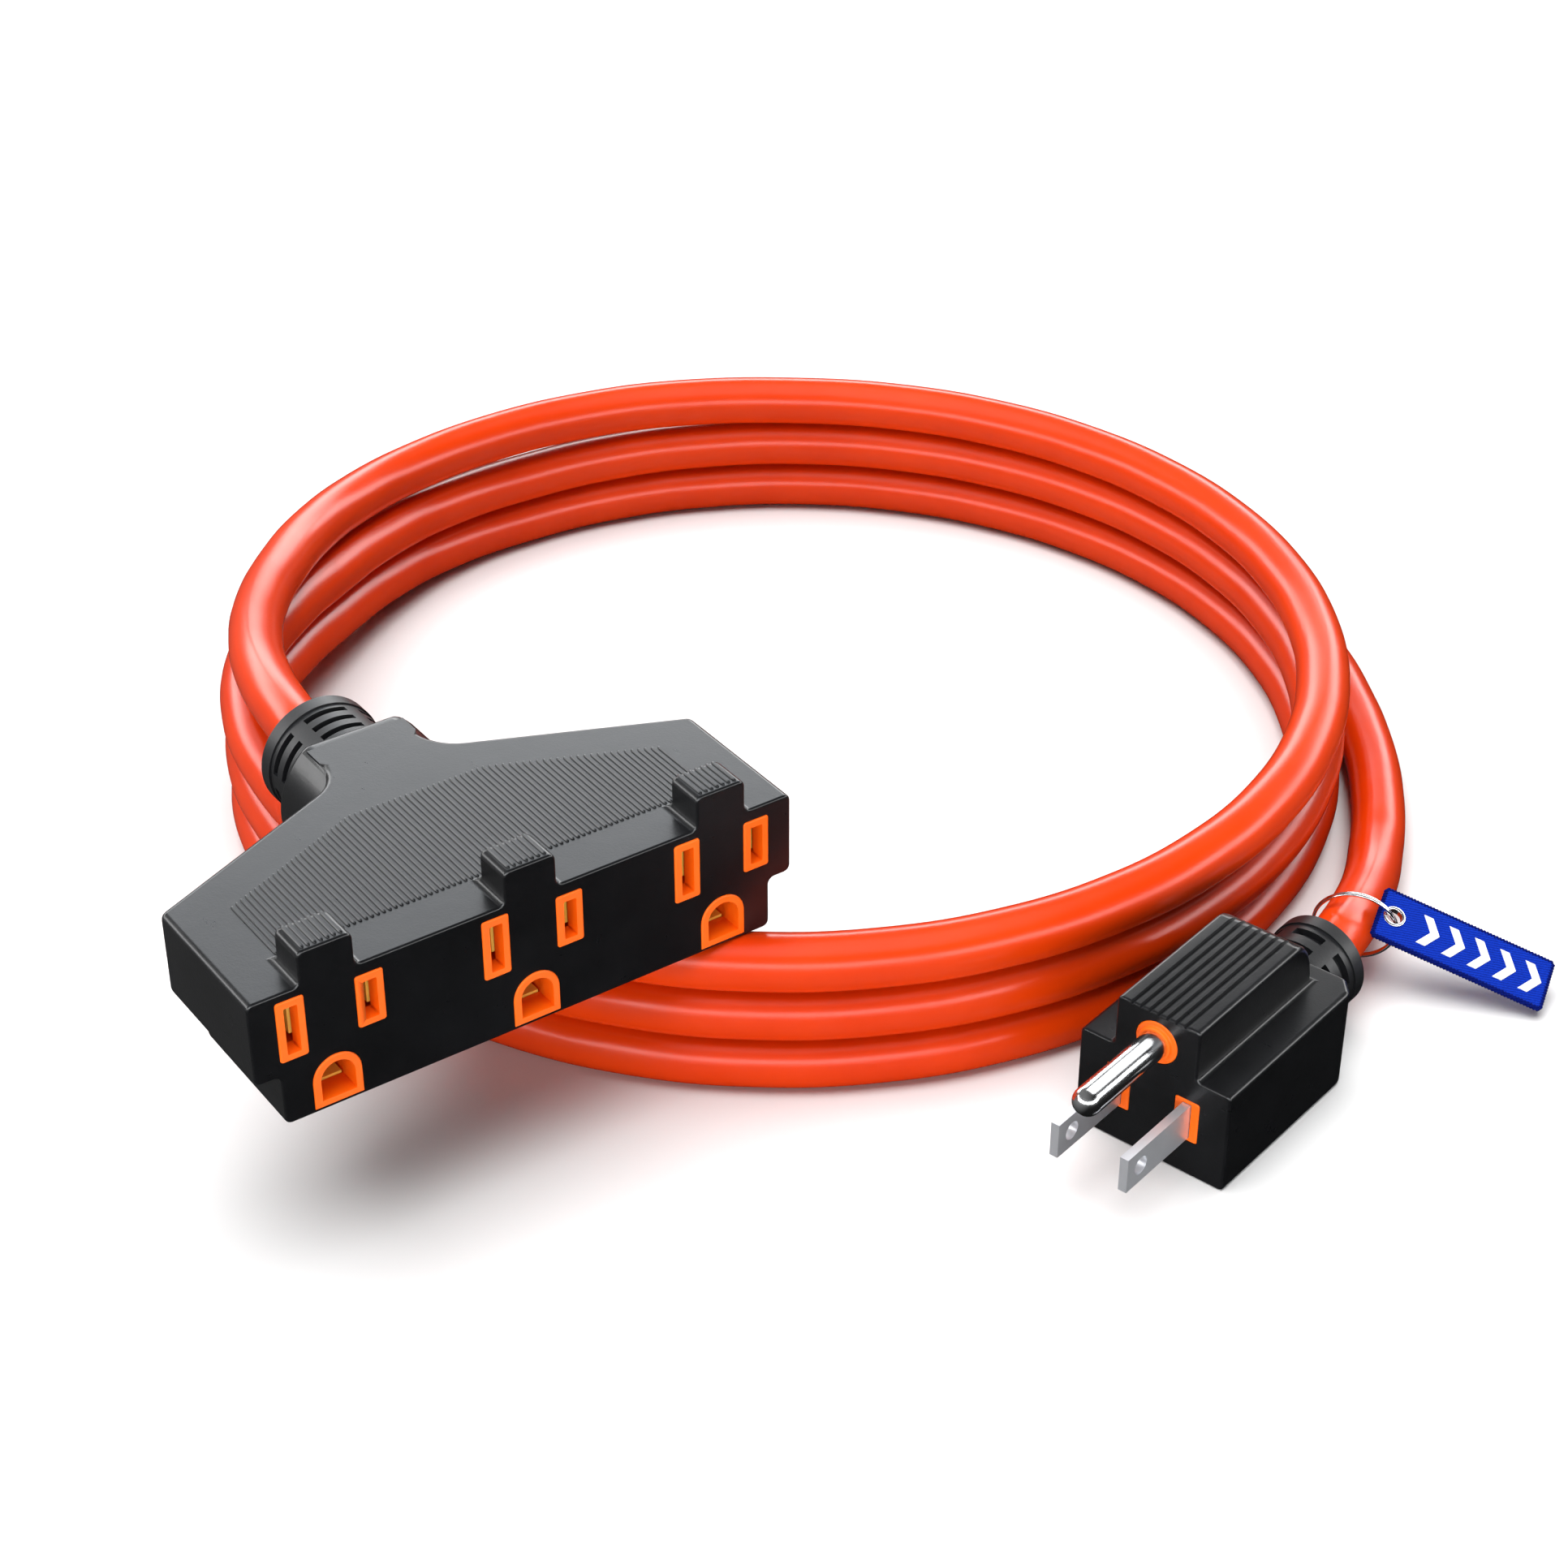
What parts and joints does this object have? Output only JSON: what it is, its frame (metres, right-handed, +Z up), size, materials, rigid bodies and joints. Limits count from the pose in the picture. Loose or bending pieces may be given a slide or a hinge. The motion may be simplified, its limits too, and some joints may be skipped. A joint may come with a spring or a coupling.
{
  "type": "extension cord",
  "caption": "Coiled heavy-duty extension cord with a flat multi-outlet grounded connector, a grounded plug and a fabric tag on a split ring.",
  "frame": {"origin": "on the connector's outlet face, midway between the blade slots of the middle outlet", "axes": "+X along the row of outlets, to the right when facing them; +Y from the outlet face into the connector, towards its cord; +Z up from the surface that the cord lies on"},
  "size_m": [0.2578, 0.2536, 0.0581],
  "materials": {
    "black_plastic": "satin moulded PVC",
    "strain_relief_rubber": "satin flexible PVC",
    "orange_plastic": "satin",
    "brass": "stamped",
    "black_insulation": "satin",
    "white_insulation": "satin",
    "green_insulation": "satin",
    "cord_jacket": "smooth satin vinyl",
    "nickel_plate": "nickel plated",
    "ring_steel": "polished",
    "blue_twill": "woven twill",
    "navy_thread": "overlocked thread"
  },
  "bodies": {
    "cord_set": {"connector_shell": "black_plastic", "connector_strain_relief": "strain_relief_rubber", "outlet_insert": "orange_plastic", "insert_rear_cover": "orange_plastic", "line_bus_bar": "brass", "neutral_bus_bar": "brass", "ground_bus_bar": "brass", "line_contacts": "brass", "neutral_contacts": "brass", "ground_contacts": "brass", "connector_crimps": "brass", "connector_line_core": "black_insulation", "connector_neutral_core": "white_insulation", "connector_ground_core": "green_insulation", "connector_lead": "cord_jacket", "cord_coil": "cord_jacket", "plug_lead": "cord_jacket", "plug_shell": "black_plastic", "plug_strain_relief": "strain_relief_rubber", "plug_insert": "orange_plastic", "line_blade": "nickel_plate", "neutral_blade": "nickel_plate", "ground_pin": "nickel_plate", "plug_crimps": "brass", "plug_line_core": "black_insulation", "plug_neutral_core": "white_insulation", "plug_ground_core": "green_insulation"},
    "ring": {"tag_ring": "ring_steel"},
    "tag": {"tag_patch": "blue_twill", "tag_border": "navy_thread", "tag_eyelet": "ring_steel"}
  },
  "joints": [
    {"name": "ring_turn", "type": "hinge", "parent": "cord_set", "child": "ring", "pos_m": [0.13725, -0.03396, -0.03655], "axis": [-0.85, -0.4986, 0.17], "range_deg": [0, 85]},
    {"name": "tag_flap", "type": "hinge", "parent": "ring", "child": "tag", "pos_m": [0.1416, -0.0401, -0.033], "axis": [-0.803, -0.5, -0.3243], "range_deg": [0, 15]}
  ]
}
